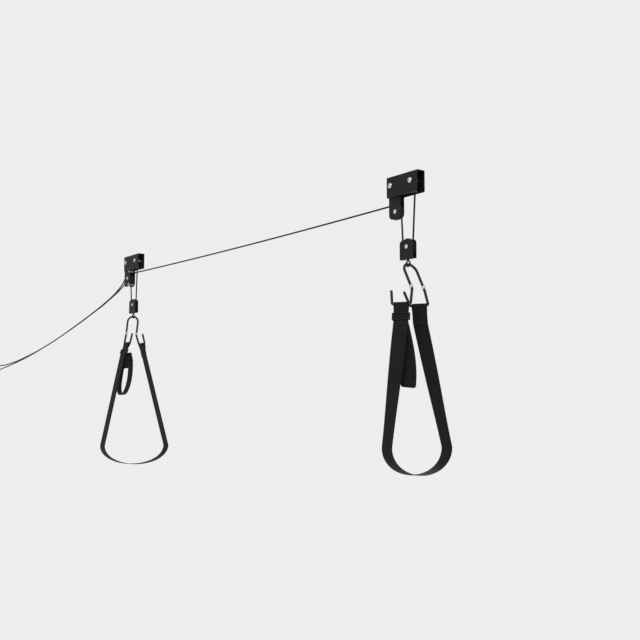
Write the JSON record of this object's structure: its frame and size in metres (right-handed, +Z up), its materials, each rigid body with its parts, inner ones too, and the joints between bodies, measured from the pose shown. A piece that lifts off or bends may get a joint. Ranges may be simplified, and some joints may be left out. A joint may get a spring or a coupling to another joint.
{
  "type": "kayak hoist",
  "caption": "Ceiling hoist that lifts a kayak in a webbing sling at each end, with a pulley block and a two-armed hook under each ceiling bracket.",
  "frame": {"origin": "middle of the top face of the near ceiling channel, where it meets the ceiling", "axes": "+Z up; X along the line of the two ceiling channels, with the far one at X = -2 m; Y across the hull, with the side of the loose webbing end at -Y"},
  "size_m": [3.4317, 0.4276, 1.0141],
  "materials": {
    "black_steel": "black powder coat, fine texture, satin",
    "zinc": "zinc plated, satin",
    "nylon": "black moulded nylon",
    "rope": "black braided polyester rope",
    "webbing": "black woven polypropylene webbing",
    "vinyl": "steel rod in a black soft vinyl sleeve"
  },
  "bodies": {
    "root": {"near_channel": "black_steel", "near_cage": "black_steel", "near_bolts": "zinc", "near_nuts": "zinc", "near_sleeves": "zinc", "near_axle": "zinc", "near_washers": "zinc", "near_rope_anchor": "rope", "near_rope_crimp": "zinc", "near_fall_fixed": "rope", "near_fall_hauled": "rope", "far_channel": "black_steel", "far_cage": "black_steel", "far_bolts": "zinc", "far_nuts": "zinc", "far_sleeves": "zinc", "far_axle": "zinc", "far_washers": "zinc", "far_rope_anchor": "rope", "far_rope_crimp": "zinc", "far_fall_fixed": "rope", "far_fall_hauled": "rope", "far_keeper_pins": "zinc", "near_rope_line": "rope", "near_rope_tail": "rope", "far_rope_head": "rope", "far_rope_tail": "rope", "rope_knots": "rope", "rope_loops": "rope", "cleat": "nylon", "cleat_screws": "zinc"},
    "near_top_wheel": {"near_sheave": "nylon"},
    "near_lift_block": {"near_block": "black_steel", "near_block_axle": "zinc", "near_block_washers": "zinc", "near_rope_turn": "rope"},
    "near_block_wheel": {"near_block_sheave": "nylon"},
    "near_swivel": {"near_eye": "black_steel"},
    "near_hanger": {"near_yoke": "vinyl", "near_collars": "zinc", "near_front_hook": "vinyl", "near_back_hook": "vinyl", "near_strap": "webbing", "near_slide": "black_steel"},
    "far_top_wheel": {"far_sheave": "nylon"},
    "far_lift_block": {"far_block": "black_steel", "far_block_axle": "zinc", "far_block_washers": "zinc", "far_rope_turn": "rope"},
    "far_block_wheel": {"far_block_sheave": "nylon"},
    "far_swivel": {"far_eye": "black_steel"},
    "far_hanger": {"far_yoke": "vinyl", "far_collars": "zinc", "far_front_hook": "vinyl", "far_back_hook": "vinyl", "far_strap": "webbing", "far_slide": "black_steel"},
    "pass_wheel": {"pass_sheave": "nylon"}
  },
  "joints": [
    {"name": "near_lift", "type": "slide", "parent": "root", "child": "near_lift_block", "axis": [0, 0, 1], "range_m": [-2, 0.06], "deforming": ["near_fall_fixed", "near_fall_hauled"]},
    {"name": "near_top_wheel_spin", "type": "hinge", "parent": "root", "child": "near_top_wheel", "pos_m": [-0.045, 0, -0.119], "axis": [0, 1, 0], "range_deg": [-290, 9560]},
    {"name": "near_block_wheel_spin", "type": "hinge", "parent": "near_lift_block", "child": "near_block_wheel", "pos_m": [0.01, 0, -0.245], "axis": [0, 1, 0], "range_deg": [-4780, 145]},
    {"name": "near_swivel_turn", "type": "hinge", "parent": "near_lift_block", "child": "near_swivel", "pos_m": [0.01, 0, -0.2865], "axis": [0, 0, 1], "continuous": true},
    {"name": "near_hook_tilt", "type": "hinge", "parent": "near_swivel", "child": "near_hanger", "pos_m": [0.01, 0, -0.3035], "axis": [0, 1, 0], "range_deg": [-45, 45]},
    {"name": "far_lift", "type": "slide", "parent": "root", "child": "far_lift_block", "axis": [0, 0, 1], "range_m": [-2, 0.06], "deforming": ["far_fall_fixed", "far_fall_hauled"]},
    {"name": "far_top_wheel_spin", "type": "hinge", "parent": "root", "child": "far_top_wheel", "pos_m": [-2.045, -0.006, -0.108], "axis": [0, 1, 0], "range_deg": [-290, 9560]},
    {"name": "far_block_wheel_spin", "type": "hinge", "parent": "far_lift_block", "child": "far_block_wheel", "pos_m": [-1.984, -0.006, -0.245], "axis": [0, 1, 0], "range_deg": [-4780, 145]},
    {"name": "far_swivel_turn", "type": "hinge", "parent": "far_lift_block", "child": "far_swivel", "pos_m": [-1.984, -0.006, -0.2865], "axis": [0, 0, 1], "continuous": true},
    {"name": "far_hook_tilt", "type": "hinge", "parent": "far_swivel", "child": "far_hanger", "pos_m": [-1.984, -0.006, -0.3035], "axis": [0, 1, 0], "range_deg": [-45, 45]},
    {"name": "pass_wheel_spin", "type": "hinge", "parent": "root", "child": "pass_wheel", "pos_m": [-2.045, 0.006, -0.108], "axis": [0, 1, 0], "range_deg": [-290, 9560]}
  ],
  "couplings": [
    {"joint": "near_top_wheel_spin", "follows": "near_lift", "rad_per_m": -83.333},
    {"joint": "near_block_wheel_spin", "follows": "near_lift", "rad_per_m": 41.667},
    {"joint": "far_top_wheel_spin", "follows": "far_lift", "rad_per_m": -83.333},
    {"joint": "far_block_wheel_spin", "follows": "far_lift", "rad_per_m": 41.667},
    {"joint": "pass_wheel_spin", "follows": "near_lift", "rad_per_m": -83.333}
  ]
}
